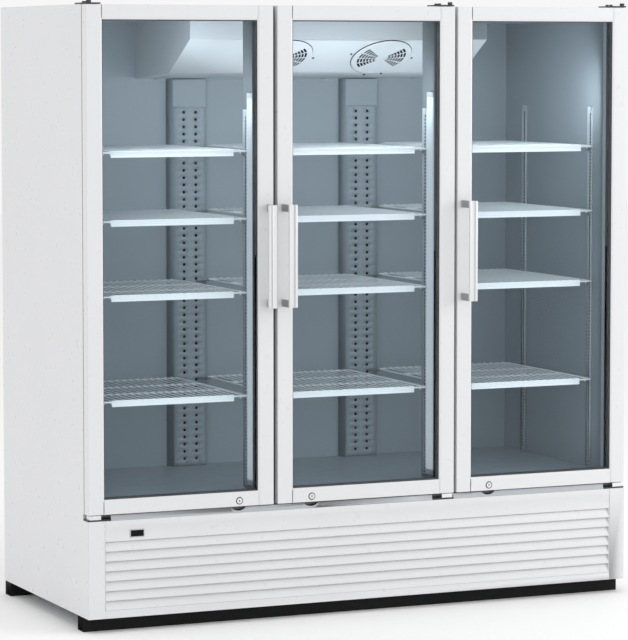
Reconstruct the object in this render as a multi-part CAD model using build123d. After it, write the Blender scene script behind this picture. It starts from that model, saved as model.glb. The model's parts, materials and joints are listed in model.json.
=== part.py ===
from build123d import *
from math import hypot
import os

# Three-door reach-in refrigerator with hinged glass doors and the condensing unit under the cabinet.
# All sizes are millimetres. The pieces are laid out from a datum at the cabinet's front left corner on
# the floor: X to the right, Y to the back, Z up, with Y = 0 in the plane of the door fronts. write()
# moves each finished piece into the part's frame, whose origin is on the floor under the middle of the
# bounding box, with the doors facing -Y.

os.makedirs("parts", exist_ok=True)

# Cabinet
width = 1981.0
depth = 851.0
height = 2033.0
skin = 1.0
skid_height = 48.0
skid_depth = 55.0
skid_inset = 51.0
skid_wall = 3.0
rear_skid_front = 790.0
base_top = 367.0
deck_top = 372.0
frame_front = 48.0
frame_back = 68.0
breaker_wall = 1.5
side_thickness = 56.0
inner_floor = 424.0
inner_ceiling = 1984.0
inner_back = 790.0
liner = 1.0
box_top = height - skin
wall_left = side_thickness
wall_right = width - side_thickness

# Doors
door_width = 651.0
door_bottom = 388.0
door_top = 2032.0
door_depth = 40.0
edge_reveal = 1.0
free_gap = 15.0
hinge_gap = 11.0
stile = 55.0
rail = 48.0
bevel = 8.0
glass_front = 4.0
pane = 4.0
pane_gap = 14.0
tube_wall = 2.0
end_block = 30.0
spacer_width = 2.5
bead_width = 3.5
gasket_inset = 16.0
gasket_width = 20.0
gasket_margin = 12.0
gasket_back = 47.5
pivot_in = 14.0
pivot_back = 12.0
pin_diameter = 10.0
running_clearance = 0.05

# Door openings, left to right: the left edge of each door and whether its hinge is on the left
door_lefts = [edge_reveal]
door_lefts.append(door_lefts[0] + door_width + free_gap)
door_lefts.append(door_lefts[1] + door_width + hinge_gap)
hinged_left = [True, False, False]
mullion_half = 40.0
mullion_back = 180.0
mullion_middles = [
    door_lefts[1] - free_gap / 2,
    door_lefts[2] - hinge_gap / 2,
]

# Handles and locks
handle_offset = 14.0
handle_width = 30.5
handle_thickness = 10.0
handle_proud = 65.0
handle_bottom = 1043.0
handle_top = 1381.0
mount_width = 9.0
mount_height = 24.0
lock_offset = 123.0
lock_height = 406.5
lock_bore = 12.1
bezel_diameter = 20.0
barrel_diameter = 16.0
plug_diameter = 12.0
cam_length = 24.0
cam_width = 10.0
cam_front = 22.0
cam_thickness = 3.0
keeper_half = 27.0
keeper_drop = 11.0

# Sill under the doors: the (y, z) of its front edge, its nose and its back edge
sill_low = (1.8, base_top)
sill_nose = (6.0, 374.5)
sill_top = (9.0, 384.0)
sill_back = (46.5, 384.0)
sill_sheet = 1.0

# Hinges
top_plate_thickness = 5.0
top_plate_reach = 52.0
top_plate_y = (4.0, 110.0)
top_bolt_rows = (66.0, 92.0)
bottom_bracket_reach = 78.0
bottom_bracket_thickness = 5.0

# Lamps on the mullions
lamp_proud = 6.0
lamp_front = 83.0
lamp_back = 134.0

# Shelves and their supports
pilaster_thickness = 6.0
pilaster_width = 32.0
pilaster_front = 136.0
pilaster_bottom = 434.0
pilaster_top = 1690.0
rear_pilaster_front = 624.0
slot_pitch = 25.4
column_half = 75.0
column_depth = 30.0
shelf_tops = [746.0, 1090.0, 1335.0, 1559.0]
shelf_front = 103.0
shelf_back = 735.0
shelf_end_gap = 6.0
strip_height = 22.0
strip_thickness = 2.0
strip_end_gap = 54.0
frame_wire = 6.0
deck_wire = 4.0
wire_pitch = 25.0

# Evaporator housing under the ceiling
housing_left = 473.0
housing_right = 1585.0
housing_front = 286.0
housing_slant_end = 479.0
housing_front_low = 1923.0
housing_slant_low = 1806.0
housing_rear_low = 1787.0
evap_fan_middles = [848.0, 1223.0]
evap_fan_radius = 92.0
evap_hole_radius = 96.0
guard_radius = 108.0
guard_slot_radii = (36.0, 48.0, 60.0, 72.0, 84.0)
guard_slot_turns = (-37.5, -22.5, -7.5, 7.5, 22.5, 37.5)
fan_shaft = 8.0

# Louvred front panel
post_width = 57.0
louvre_pitch = 32.25
louvre_top = 298.0
louvre_count = 7
louvre_recess = 12.0
band_line = 342.0
thermometer_x = (143.5, 193.7)
thermometer_z = (309.0, 334.6)

# Condensing unit, rear cover and cord inlet
unit_x = (1240.0, 1700.0)
unit_z = (70.0, 340.0)
shroud_y = (110.0, 150.0)
cond_fan_radius = 112.0
compressor_y = 430.0
tray_top = 50.0
cover_front = 843.0
gland_x = 1720.0
gland_z = 160.0

# The part's frame: the middle of the bounding box, which reaches from the handles to the back
frame_shift = (-width / 2, -(depth - handle_proud) / 2, 0)


def block(x, y, z):
    """A box between three (low, high) pairs."""
    sizes = [high - low for low, high in (x, y, z)]
    middles = [(high + low) / 2 for low, high in (x, y, z)]
    return Pos(*middles) * Box(*sizes)


def prism(outline, travel):
    """A flat outline of 3-D points drawn out along the travel vector."""
    border = Wire.make_polygon([Vector(*point) for point in outline], close=True)
    return Solid.extrude(Face(border), Vector(*travel))


def prism_x(outline, x):
    """A (y, z) outline drawn out along X from x[0] to x[1]."""
    return prism([(x[0], y, z) for y, z in outline], (x[1] - x[0], 0, 0))


def prism_z(outline, z):
    """An (x, y) outline drawn out along Z from z[0] to z[1]."""
    return prism([(x, y, z[0]) for x, y in outline], (0, 0, z[1] - z[0]))


def rod(start, end, diameter):
    """A round bar between two points."""
    run = Vector(*end) - Vector(*start)
    return Solid.make_cylinder(diameter / 2, run.length, Plane(origin=start, z_dir=run))


def wire(start, end, thickness):
    """A straight coated frame wire between two points, drawn as an eight-sided bar."""
    run = Vector(*end) - Vector(*start)
    outline = RegularPolygon(thickness / 2, 8, major_radius=False, rotation=22.5)
    section = Plane(origin=start, z_dir=run) * outline
    return Solid.extrude(section.faces()[0], run)


def tube(points, radii, diameter):
    """A bent tube along straight runs joined by tangent arcs."""
    path = FilletPolyline(*points, radius=radii)
    return sweep(Plane(origin=path @ 0, z_dir=path % 0) * Circle(diameter / 2), path)


def ring_bars(x, y, z, bar_width):
    """Four butted bars around a rectangular opening in an XZ plane."""
    inner_z = (z[0] + bar_width, z[1] - bar_width)
    inner_x = (x[0] + bar_width, x[1] - bar_width)
    return [
        block((x[0], inner_x[0]), y, z),
        block((inner_x[1], x[1]), y, z),
        block(inner_x, y, (z[0], inner_z[0])),
        block(inner_x, y, (inner_z[1], z[1])),
    ]


def write(name, pieces):
    """Write one node's solids as a STEP file in the part's own frame."""
    solids = [solid for piece in pieces for solid in piece.solids()]
    moved = [Location(frame_shift) * solid for solid in solids]
    shape = moved[0] if len(moved) == 1 else Compound(moved)
    export_step(shape, f"parts/{name}.step")


# Doors: each is drawn hinged on the left with its hinge edge at X = 0, then placed or mirrored


def place_door(pieces, number):
    """Move a door's pieces into their opening, mirrored where the hinge is on the right."""
    if hinged_left[number]:
        return [Pos(door_lefts[number], 0, 0) * piece for piece in pieces]
    right = door_lefts[number] + door_width
    return [Pos(right, 0, 0) * mirror(piece, about=Plane.YZ) for piece in pieces]


def stile_bar(flip):
    """A hollow stile with solid ends. flip puts it on the free side."""
    outer = [(0, 0), (stile - bevel, 0), (stile, glass_front), (stile, door_depth), (0, door_depth)]
    inner_edge = stile - tube_wall
    back = door_depth - tube_wall
    inner = [
        (tube_wall, tube_wall),
        (stile - bevel - 1, tube_wall),
        (inner_edge, glass_front + 1),
        (inner_edge, back),
        (tube_wall, back),
    ]
    bar = prism_z(outer, (door_bottom, door_top))
    bar = fillet(bar.edges().filter_by(Axis.Z).sort_by(Axis.X)[:2], 2.0)
    bar -= prism_z(inner, (door_bottom + end_block, door_top - end_block))
    for low in (door_bottom + end_block + 2, door_top - end_block - 14):
        bar -= block((inner_edge - 1, stile + 1), (8, 34), (low, low + 12))
    if flip:
        return Pos(door_width, 0, 0) * mirror(bar, about=Plane.YZ)
    for low in (door_bottom, door_top - end_block + 6):
        bore = Cylinder(pin_diameter / 2 + running_clearance, end_block - 6)
        bar -= Pos(pivot_in, pivot_back, low + (end_block - 6) / 2) * bore
    return bar


def rail_bar(top):
    """A hollow rail between the stiles, open at the ends that butt against them."""
    low, high = (door_top - rail, door_top) if top else (door_bottom, door_bottom + rail)
    edge, seat, side = (low, high, 1) if top else (high, low, -1)
    outer = [
        (0, seat),
        (0, edge + side * bevel),
        (glass_front, edge),
        (door_depth, edge),
        (door_depth, seat),
    ]
    back = door_depth - tube_wall
    inner = [
        (tube_wall, seat - side * tube_wall),
        (tube_wall, edge + side * (bevel + 1)),
        (glass_front + 1, edge + side * tube_wall),
        (back, edge + side * tube_wall),
        (back, seat - side * tube_wall),
    ]
    x = (stile, door_width - stile)
    bar = prism_x(outer, x) - prism_x(inner, x)
    if top:
        return bar
    lock_x = door_width - lock_offset
    bar -= rod((lock_x, -1, lock_height), (lock_x, tube_wall + 1, lock_height), barrel_diameter)
    slot = block((lock_x - 8, lock_x + 21), (cam_front - 2, cam_front + 5), (low - 1, low + 3))
    return bar - slot


def door_frame():
    return [stile_bar(False), stile_bar(True), rail_bar(False), rail_bar(True)]


def door_glass():
    """Outer and inner pane of the insulating glass."""
    x = (stile + 1, door_width - stile - 1)
    z = (door_bottom + rail + 1, door_top - rail - 1)
    second = glass_front + pane + pane_gap
    return [block(x, (y, y + pane), z) for y in (glass_front, second)]


def door_glazing():
    """Spacer between the panes and the bead behind them, around the opening."""
    x = (stile + 1, door_width - stile - 1)
    z = (door_bottom + rail + 1, door_top - rail - 1)
    spacer_y = (glass_front + pane, glass_front + pane + pane_gap)
    bead_y = (spacer_y[1] + pane, door_depth)
    bead_x = (stile, door_width - stile)
    bead_z = (door_bottom + rail, door_top - rail)
    return ring_bars(x, spacer_y, z, spacer_width) + ring_bars(bead_x, bead_y, bead_z, bead_width)


def door_gasket():
    x = (gasket_inset, door_width - gasket_inset)
    z = (door_bottom + gasket_margin, door_top - gasket_margin)
    return ring_bars(x, (door_depth, gasket_back), z, gasket_width)


def door_handle():
    """The pull bar: a wide face, a shallow valley and a narrow rib, all along its length."""
    edge = door_width - handle_offset
    front = -handle_proud
    back = front + handle_thickness
    outline = [
        (edge, front + 1.5),
        (edge - 1.5, front),
        (edge - 18, front),
        (edge - 20.5, front + 2.5),
        (edge - 23, front),
        (edge - handle_width + 1.5, front),
        (edge - handle_width, front + 1.5),
        (edge - handle_width, back),
        (edge, back),
    ]
    return [prism_z(outline, (handle_bottom, handle_top))]


def door_handle_mounts():
    """The two standoffs that carry the pull bar."""
    edge = door_width - handle_offset
    y = (handle_thickness - handle_proud, 0)
    ends = [(handle_bottom, handle_bottom + mount_height), (handle_top - mount_height, handle_top)]
    return [block((edge - mount_width, edge), y, z) for z in ends]


def door_lock_housing():
    """The lock's bezel and barrel in the bottom rail."""
    x = door_width - lock_offset
    bezel = rod((x, -1.5, lock_height), (x, 0, lock_height), bezel_diameter)
    barrel = rod((x, 0, lock_height), (x, cam_front - 1, lock_height), barrel_diameter)
    bore = rod((x, -2, lock_height), (x, cam_front, lock_height), lock_bore)
    return [bezel + barrel - bore]


def door_lock_plug():
    """The turning plug with its keyway and the cam behind the barrel, pointing to the free edge."""
    x = door_width - lock_offset
    plug = rod((x, -1, lock_height), (x, cam_front, lock_height), plug_diameter)
    keyway = block((x - 1, x + 1), (-2, 1.5), (lock_height - 3.5, lock_height + 3.5))
    cam_y = (cam_front, cam_front + cam_thickness)
    half = cam_width / 2
    tip_x = x + cam_length - half
    cam = block((x, tip_x), cam_y, (lock_height - half, lock_height + half))
    tip = rod((tip_x, cam_y[0], lock_height), (tip_x, cam_y[1], lock_height), cam_width)
    root = rod((x, cam_y[0], lock_height), (x, cam_y[1], lock_height), plug_diameter + 2)
    return [plug - keyway + root + cam + tip]


def write_doors():
    pieces = {
        "frame": door_frame(),
        "glass": door_glass(),
        "glazing": door_glazing(),
        "gasket": door_gasket(),
        "handle": door_handle(),
        "handle_mounts": door_handle_mounts(),
        "lock_housing": door_lock_housing(),
        "lock_plug": door_lock_plug(),
    }
    for number in range(len(door_lefts)):
        for name, solids in pieces.items():
            write(f"door_{number + 1}_{name}", place_door(solids, number))


def hinge_edge(number):
    """A door's hinge edge and the direction from it into the door."""
    if hinged_left[number]:
        return door_lefts[number], 1
    return door_lefts[number] + door_width, -1


def hinge_brackets():
    """Top plates with pins and bolts, and bottom brackets with pins, one pair for each door."""
    pieces = []
    for number in range(len(door_lefts)):
        edge, inward = hinge_edge(number)

        def across(low, high):
            return tuple(sorted((edge + inward * low, edge + inward * high)))

        pivot = edge + inward * pivot_in
        plate_z = (height, height + top_plate_thickness)
        pieces.append(block(across(2, top_plate_reach), top_plate_y, plate_z))
        pieces.append(rod((pivot, pivot_back, door_top - 20), (pivot, pivot_back, height), pin_diameter))
        pieces.append(rod((pivot, pivot_back, plate_z[1]), (pivot, pivot_back, height + 14), 16))
        for y in top_bolt_rows:
            head = extrude(RegularPolygon(6.5, 6), 5.5)
            pieces.append(Pos(edge + inward * (top_plate_reach + 2) / 2, y, plate_z[1]) * head)
        bracket_top = base_top + bottom_bracket_thickness
        pieces.append(block(across(0, bottom_bracket_reach), (2, 46), (base_top, bracket_top)))
        pieces.append(block(across(4, 44), (2, 30), (bracket_top, door_bottom - 2)))
        foot = (pivot, pivot_back, door_bottom - 2)
        pieces.append(rod(foot, (pivot, pivot_back, door_bottom + 20), pin_diameter))
    return pieces


def lock_middles():
    """Where the lock of each door stands along X."""
    places = []
    for number in range(len(door_lefts)):
        edge, inward = hinge_edge(number)
        places.append(edge + inward * (door_width - lock_offset))
    return places


def sill_outline(back):
    """The (y, z) outline of the sill's sheet: a sloped front, and a top flange where back is set."""
    face = [sill_low, sill_nose, sill_top]
    inside = [(y + sill_sheet, z) for y, z in face[:2]]
    if not back:
        return [*face, (sill_top[0] + sill_sheet, sill_top[1]), *inside[::-1]]
    corner = (sill_top[0] + sill_sheet, sill_top[1] - sill_sheet)
    return [*face, sill_back, (sill_back[0], sill_back[1] - sill_sheet), corner, *inside[::-1]]


def lock_keepers():
    """The sill under the doors, in runs between the brackets and the locks, and a keeper at each lock."""
    cuts = []
    for number in range(len(door_lefts)):
        edge, inward = hinge_edge(number)
        cuts.append(tuple(sorted((edge - inward, edge + inward * (bottom_bracket_reach + 1)))))
    cuts += [(x - keeper_half, x + keeper_half) for x in lock_middles()]
    cuts.sort()
    starts = [end for _, end in cuts]
    ends = [start for start, _ in cuts[1:]] + [width - skin - 1]
    runs = [(start, end) for start, end in zip(starts, ends) if end - start > 5]
    pieces = [prism_x(sill_outline(True), run) for run in runs]
    radius = (keeper_half**2 + keeper_drop**2) / (2 * keeper_drop)
    middle_z = sill_top[1] - keeper_drop + radius
    for x in lock_middles():
        plate = prism_x(sill_outline(False), (x - keeper_half, x + keeper_half))
        pieces.append(plate - rod((x, -1, middle_z), (x, 20, middle_z), 2 * radius))
    return pieces


# Cabinet


def side_panel(x):
    """Outer side sheet: it comes forward to the door plane below the doors only."""
    outline = [
        (0, skid_height),
        (depth, skid_height),
        (depth, height),
        (frame_front, height),
        (frame_front, base_top),
        (0, base_top),
    ]
    return prism_x(outline, x)


def inner_liner():
    left = (wall_left - liner, wall_left)
    right = (wall_right, wall_right + liner)
    side_y = (frame_back, inner_back + liner)
    side_z = (inner_floor - liner, inner_ceiling + liner)
    across = (wall_left, wall_right)
    return [
        block(left, side_y, side_z),
        block(right, side_y, side_z),
        block(across, (inner_back, inner_back + liner), side_z),
        block(across, (frame_back, inner_back), (inner_ceiling, inner_ceiling + liner)),
        block(across, (frame_back, inner_back), (inner_floor - liner, inner_floor)),
    ]


def rear_columns():
    """Raised vertical columns on the back wall behind each mullion, with shelf hook holes."""
    columns = []
    for middle in mullion_middles:
        front = inner_back - column_depth
        outline = [
            (middle - column_half, inner_back),
            (middle - column_half + 12, front),
            (middle + column_half - 12, front),
            (middle + column_half, inner_back),
        ]
        z = (inner_floor, housing_rear_low - 2)
        column = prism_z(outline, z) - prism_z(
            [
                (middle - column_half + 2, inner_back + 1),
                (middle - column_half + 13.5, front + 1.5),
                (middle + column_half - 13.5, front + 1.5),
                (middle + column_half - 2, inner_back + 1),
            ],
            z,
        )
        holes = []
        for side in (-22.5, 22.5):
            count = int((pilaster_top - pilaster_bottom) / (2 * slot_pitch))
            for step in range(count):
                z = pilaster_bottom + 16 + step * 2 * slot_pitch
                holes.append(rod((middle + side, front - 1, z), (middle + side, front + 6, z), 7))
        columns.append(column - holes)
    return columns


def insulation():
    z = (deck_top, box_top)
    inner_left = (skin, wall_left - liner)
    inner_right = (wall_right + liner, width - skin)
    across = (inner_left[1], inner_right[0])
    foam_y = (frame_back, depth - skin)
    front_y = (frame_back, inner_back + liner)
    return [
        block(inner_left, foam_y, z),
        block(inner_right, foam_y, z),
        block(across, (inner_back + liner, depth - skin), z),
        block(across, front_y, (inner_ceiling + liner, box_top)),
        block(across, front_y, (deck_top, inner_floor - liner)),
    ]


def face_frame():
    """Breaker frame around the opening, open at the back, and the two hollow mullions."""
    z = (deck_top, box_top)
    across = (wall_left, wall_right)
    spans = [
        ((skin, wall_left), z),
        ((wall_right, width - skin), z),
        (across, (inner_ceiling, box_top)),
        (across, (deck_top, inner_floor)),
    ]
    bars = []
    for bar_x, bar_z in spans:
        bar = block(bar_x, (frame_front, frame_back), bar_z)
        hollow_x = (bar_x[0] + breaker_wall, bar_x[1] - breaker_wall)
        hollow_z = (bar_z[0] + breaker_wall, bar_z[1] - breaker_wall)
        bars.append(bar - block(hollow_x, (frame_front + breaker_wall, frame_back + 1), hollow_z))
    for middle in mullion_middles:
        reach = mullion_half - breaker_wall
        z = (inner_floor, inner_ceiling)
        post = block((middle - mullion_half, middle + mullion_half), (frame_front, mullion_back), z)
        hollow_y = (frame_front + breaker_wall, mullion_back - breaker_wall)
        bars.append(post - block((middle - reach, middle + reach), hollow_y, z))
    return bars


def pilaster_strip():
    """One slotted strip, drawn with its back on X = 0 and its face towards +X."""
    strip = block((0, pilaster_thickness), (0, pilaster_width), (pilaster_bottom, pilaster_top))
    channel_z = (pilaster_bottom - 1, pilaster_top + 1)
    strip -= block((-1, pilaster_thickness - 1.5), (2, pilaster_width - 2), channel_z)
    count = int((pilaster_top - pilaster_bottom - 2 * slot_pitch) / slot_pitch)
    slots = []
    for step in range(count):
        z = pilaster_bottom + slot_pitch + step * slot_pitch
        slots.append(block((pilaster_thickness - 3, pilaster_thickness + 1), (5, 13), (z, z + 14)))
    return strip - slots


def section_walls():
    """Left and right face of each of the three sections."""
    lefts = [wall_left] + [middle + mullion_half for middle in mullion_middles]
    rights = [middle - mullion_half for middle in mullion_middles] + [wall_right]
    return list(zip(lefts, rights))


def pilasters():
    strip = pilaster_strip()
    pieces = []
    for number, (left, right) in enumerate(section_walls()):
        pieces.append(Pos(left, pilaster_front, 0) * strip)
        pieces.append(Pos(right, pilaster_front, 0) * mirror(strip, about=Plane.YZ))
        if number == 0:
            pieces.append(Pos(left, rear_pilaster_front, 0) * strip)
        if number == 2:
            pieces.append(Pos(right, rear_pilaster_front, 0) * mirror(strip, about=Plane.YZ))
    return pieces


def shelf_span(number):
    """The X range of a section's shelves, between its pilasters."""
    left, right = section_walls()[number]
    inset = pilaster_thickness + shelf_end_gap
    return left + inset, right - inset


def shelf(number):
    """One wire shelf with its top at Z = 0: frame, deck wires, cross wires and the front strip."""
    left, right = shelf_span(number)
    front = shelf_front + strip_thickness
    frame_z = -deck_wire + 0.5 - frame_wire / 2
    half = frame_wire / 2
    solids = []
    for y in (front + half, (front + shelf_back) / 2, shelf_back - half):
        solids.append(wire((left, y, frame_z), (right, y, frame_z), frame_wire))
    for x in (left + half, right - half):
        solids.append(wire((x, front, frame_z), (x, shelf_back, frame_z), frame_wire))
    count = round((right - left - 2 * frame_wire) / wire_pitch)
    pitch = (right - left - 2 * frame_wire) / count
    for step in range(count + 1):
        x = left + frame_wire + step * pitch
        solids.append(block((x - 2, x + 2), (front, shelf_back), (-deck_wire, 0)))
    strip_x = (left + strip_end_gap, right - strip_end_gap)
    solids.append(block(strip_x, (shelf_front, front + 1), (-strip_height, 0)))
    return solids[0].fuse(*solids[1:])


def shelf_clips():
    """Small gusset brackets under the four corners of every shelf."""
    drop = deck_wire - 0.5 + frame_wire
    pieces = []
    for number, (left, right) in enumerate(section_walls()):
        for top in shelf_tops:
            z = top - drop
            for wall, inward in ((left, 1), (right, -1)):
                root = wall + inward * pilaster_thickness
                reach = root + inward * 14
                outline = [(root, z), (reach, z), (reach, z - 3), (root, z - 14)]
                outer = wall in (wall_left, wall_right)
                rows = (pilaster_front + 6, rear_pilaster_front + 6) if outer else (pilaster_front + 6,)
                for y in rows:
                    pieces.append(prism([(x, y, level) for x, level in outline], (0, 20, 0)))
                if not outer:
                    x = sorted((root + inward * 20, wall - inward * 16))
                    pieces.append(block(x, (shelf_back - 14, inner_back - column_depth), (z - 3, z)))
    return pieces


def led_lamps():
    """Lamp housings up both sides of each mullion, in front of the pilasters."""
    pieces = []
    z = (440, 1745)
    for middle in mullion_middles:
        for side in (-1, 1):
            wall = middle + side * mullion_half
            face = wall + side * lamp_proud
            outline = [(wall, lamp_front), (wall, lamp_back), (face, lamp_back - 3), (face, lamp_front + 3)]
            pieces.append(prism_z(outline, z))
    return pieces


# Evaporator section

slant_run = housing_slant_end - housing_front
slant_drop = housing_front_low - housing_slant_low
slant_length = hypot(slant_run, slant_drop)
slant_along = (slant_run / slant_length, -slant_drop / slant_length)
slant_out = (slant_along[1], -slant_along[0])


def on_slant(along, out):
    """The (y, z) of a point a distance down the slanted face and a distance outside it."""
    y = housing_front + along * slant_along[0] + out * slant_out[0]
    z = housing_front_low + along * slant_along[1] + out * slant_out[1]
    return y, z


def slant_plane(x, out):
    """A plane at a fan's middle, parallel to the slanted face, with its normal pointing outwards."""
    y, z = on_slant(slant_length / 2, out)
    return Plane(origin=(x, y, z), x_dir=(1, 0, 0), z_dir=(0, *slant_out))


def evaporator_housing():
    sheet = 1.5
    x = (housing_left + sheet, housing_right - sheet)
    front = block(x, (housing_front, housing_front + sheet), (housing_front_low, inner_ceiling))
    corners = [
        on_slant(0, 0),
        on_slant(slant_length, 0),
        on_slant(slant_length, -sheet),
        (housing_front + sheet, housing_front_low),
    ]
    slant = prism_x(corners, x)
    for middle in evap_fan_middles:
        hole = Solid.make_cylinder(evap_hole_radius, 20, slant_plane(middle, -10))
        slant -= hole
    inner_low = on_slant(slant_length, -sheet)
    bottom = prism_x(
        [
            (housing_slant_end, housing_slant_low),
            (inner_back, housing_rear_low),
            (inner_back, housing_rear_low + sheet),
            inner_low,
        ],
        x,
    )
    outline = [
        (housing_front, inner_ceiling),
        (housing_front, housing_front_low),
        (housing_slant_end, housing_slant_low),
        (inner_back, housing_rear_low),
        (inner_back, inner_ceiling),
    ]
    ends = [prism_x(outline, (housing_left, x[0])), prism_x(outline, (x[1], housing_right))]
    return [front, slant, bottom, *ends]


def evaporator_coil():
    """Fins between two end plates, two rails that carry them and the tube ends on the right."""
    x = (560.0, 1490.0)
    y = (570.0, 740.0)
    z = (1815.0, 1955.0)
    fins = 60
    pitch = (x[1] - x[0]) / (fins + 1)
    fin_lefts = [x[0] + step * pitch for step in range(1, fins + 1)]
    pieces = [block((fin_left, fin_left + 1), y, z) for fin_left in fin_lefts]
    for end in ((x[0] - 4, x[0]), (x[1], x[1] + 4)):
        pieces.append(block(end, (y[0] - 8, y[1] + 8), (z[0] - 7, z[1] + 7)))
    for rail_z in ((z[0] - 3, z[0]), (z[1], z[1] + 3)):
        pieces.append(block(x, (y[0] + 75, y[0] + 95), rail_z))
    for row in range(3):
        for column in range(3):
            tip = (x[1] + 4, y[0] + 25 + column * 55, z[0] + 15 + row * 45)
            pieces.append(rod(tip, (tip[0] + 22, tip[1], tip[2]), 10))
    return pieces


def fan_guards():
    """Pressed round guards over the two fan holes, slotted on their left and right sides."""
    pieces = []
    for middle in evap_fan_middles:
        plane = slant_plane(middle, 0)
        disc = Solid.make_cylinder(guard_radius, 2, plane)
        slots = []
        for radius in guard_slot_radii:
            for turn in guard_slot_turns:
                for side in (0, 180):
                    turned = plane * Rot(0, 0, side + turn) * Pos(radius, 0, 0)
                    slots.append(turned * Box(7, 0.19 * radius, 20))
        pieces.append(disc - slots)
    return pieces


def fan_wheel(plane, radius, hub_radius, hub_depth, chord, pitch, shaft_length):
    """A hub with five pitched blades and a shaft behind it, centred on the plane."""
    hub = Pos(0, 0, 0) * Cylinder(hub_radius, hub_depth)
    blades = []
    for step in range(5):
        reach = radius - hub_radius + 6
        blade = Pos(hub_radius - 6 + reach / 2, 0, 0) * Rot(pitch, 0, 0) * Box(reach, chord, 2.5)
        blades.append(Rot(0, 0, 72 * step) * blade)
    wheel = hub.fuse(*blades) & Cylinder(radius, 4 * hub_depth)
    shaft = Pos(0, 0, -hub_depth / 2 - shaft_length / 2) * Cylinder(fan_shaft / 2, shaft_length)
    return plane * (wheel + shaft)


def fan_motor(plane, radius, length, gap):
    """A round motor body behind a fan, bored for the fan's shaft."""
    body = Pos(0, 0, -gap - length / 2) * Cylinder(radius, length)
    bore = Pos(0, 0, -gap - 12) * Cylinder(fan_shaft / 2 + running_clearance, 24.1)
    return plane * (body - bore)


def evaporator_fans():
    for number, middle in enumerate(evap_fan_middles):
        plane = slant_plane(middle, -32)
        wheel = fan_wheel(plane, evap_fan_radius, 26, 26, 46, 26, 27)
        write(f"evaporator_fan_{('left', 'right')[number]}", [wheel])


def evaporator_motors():
    pieces = []
    for middle in evap_fan_middles:
        plane = slant_plane(middle, -32)
        pieces.append(fan_motor(plane, 30, 44, 18))
        pieces.append(plane * Pos(0, 0, -65) * Box(230, 24, 5))
    return pieces


# Machine compartment and its front


def skid(front):
    """A rectangular tube across the cabinet with a plug in each end."""
    hollow_y = (front + skid_wall, front + skid_depth - skid_wall)
    hollow_z = (skid_wall, skid_height - skid_wall)
    beam = block((0, width), (front, front + skid_depth), (0, skid_height))
    beam -= block((-1, width + 1), hollow_y, hollow_z)
    plugs = [block(x, hollow_y, hollow_z) for x in ((0, skid_wall), (width - skid_wall, width))]
    return [beam, *plugs]


def lower_front_frame():
    """Corner posts, the bottom strip between them and the ledge rail at the top of the grille."""
    posts = []
    for outer, inner in ((skin, post_width), (width - skin, width - post_width)):
        x = tuple(sorted((outer, inner)))
        web = tuple(sorted((inner - skin if inner > outer else inner + skin, inner)))
        front = block(x, (0, skin), (skid_height, base_top))
        cap = block(x, (0, frame_front), (base_top - skin, base_top))
        posts.append(front + cap + block(web, (0, frame_front), (skid_height, base_top)))
    across = (post_width, width - post_width)
    strip = block(across, (0, skin), (skid_height, 73)) + block(
        across, (0, frame_front), (skid_height, skid_height + skin)
    )
    ledge = block(across, (4, frame_front), (base_top - skin, base_top)) + block(
        across, (4, 4 + skin), (350, base_top)
    )
    return [*posts, strip, ledge]


def grille_panel():
    """Front panel: a folded band above seven overlapping louvre boards between two end plates."""
    x = (post_width + 1, width - post_width - 1)
    top = base_top - 0.5
    band = prism_x(
        [
            (0, top),
            (0, band_line),
            (1, band_line - 1),
            (1, louvre_top),
            (2.5, louvre_top),
            (2.5, band_line + 1.5),
            (1.5, band_line + 1.5),
            (1.5, top),
        ],
        x,
    )
    cut_x = (thermometer_x[0] + 3, thermometer_x[1] - 3)
    cut_z = (thermometer_z[0] + 3, thermometer_z[1] - 3)
    band -= block(cut_x, (-1, 4), cut_z)
    pieces = [band]
    board_x = (x[0] + 2, x[1] - 2)
    for step in range(louvre_count):
        low = louvre_top - (step + 1) * louvre_pitch + 1
        high = low + louvre_pitch - 1 if step == 0 else low + louvre_pitch + 2
        back = louvre_recess * (high - low) / (louvre_pitch + 2)
        outline = [(0, low), (2, low), (back + 2, high), (back, high)]
        pieces.append(prism_x(outline, board_x))
    low = louvre_top - louvre_count * louvre_pitch + 1
    for end in ((x[0], board_x[0]), (board_x[1], x[1])):
        pieces.append(block(end, (0.5, louvre_recess + 4), (low, louvre_top)))
    return pieces


def thermometer():
    """A framed display in the band, with its body behind the panel."""
    bezel = block(thermometer_x, (-1, 1), thermometer_z)
    body_x = (thermometer_x[0] + 3.5, thermometer_x[1] - 3.5)
    body_z = (thermometer_z[0] + 3.5, thermometer_z[1] - 3.5)
    return [bezel + block(body_x, (1, 20), body_z)]


unit_middle = ((unit_x[0] + unit_x[1]) / 2, (unit_z[0] + unit_z[1]) / 2)


def condenser_coil():
    pack = block((unit_x[0] + 4, unit_x[1] - 4), (62, shroud_y[0]), (unit_z[0] + 4, unit_z[1] - 4))
    ends = ((unit_x[0], unit_x[0] + 4), (unit_x[1] - 4, unit_x[1]))
    plates = [block(end, (60, shroud_y[0]), unit_z) for end in ends]
    return [pack, *plates]


def fan_shroud():
    """Sheet shroud behind the condenser, with the fan's round opening, on two feet."""
    shell = block(unit_x, shroud_y, unit_z)
    cavity_y = (shroud_y[0] - 1, shroud_y[1] - 2)
    cavity = block((unit_x[0] + 2, unit_x[1] - 2), cavity_y, (unit_z[0] + 2, unit_z[1] - 2))
    middle_x, middle_z = unit_middle
    opening = rod((middle_x, shroud_y[0], middle_z), (middle_x, shroud_y[1] + 1, middle_z), 236)
    feet = [block((x, x + 30), (62, 148), (tray_top, unit_z[0])) for x in (unit_x[0] + 20, unit_x[1] - 50)]
    return [shell - cavity - opening, *feet]


def condenser_fan_plane():
    middle_x, middle_z = unit_middle
    return Plane(origin=(middle_x, shroud_y[1] + 20, middle_z), x_dir=(1, 0, 0), z_dir=(0, -1, 0))


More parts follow.
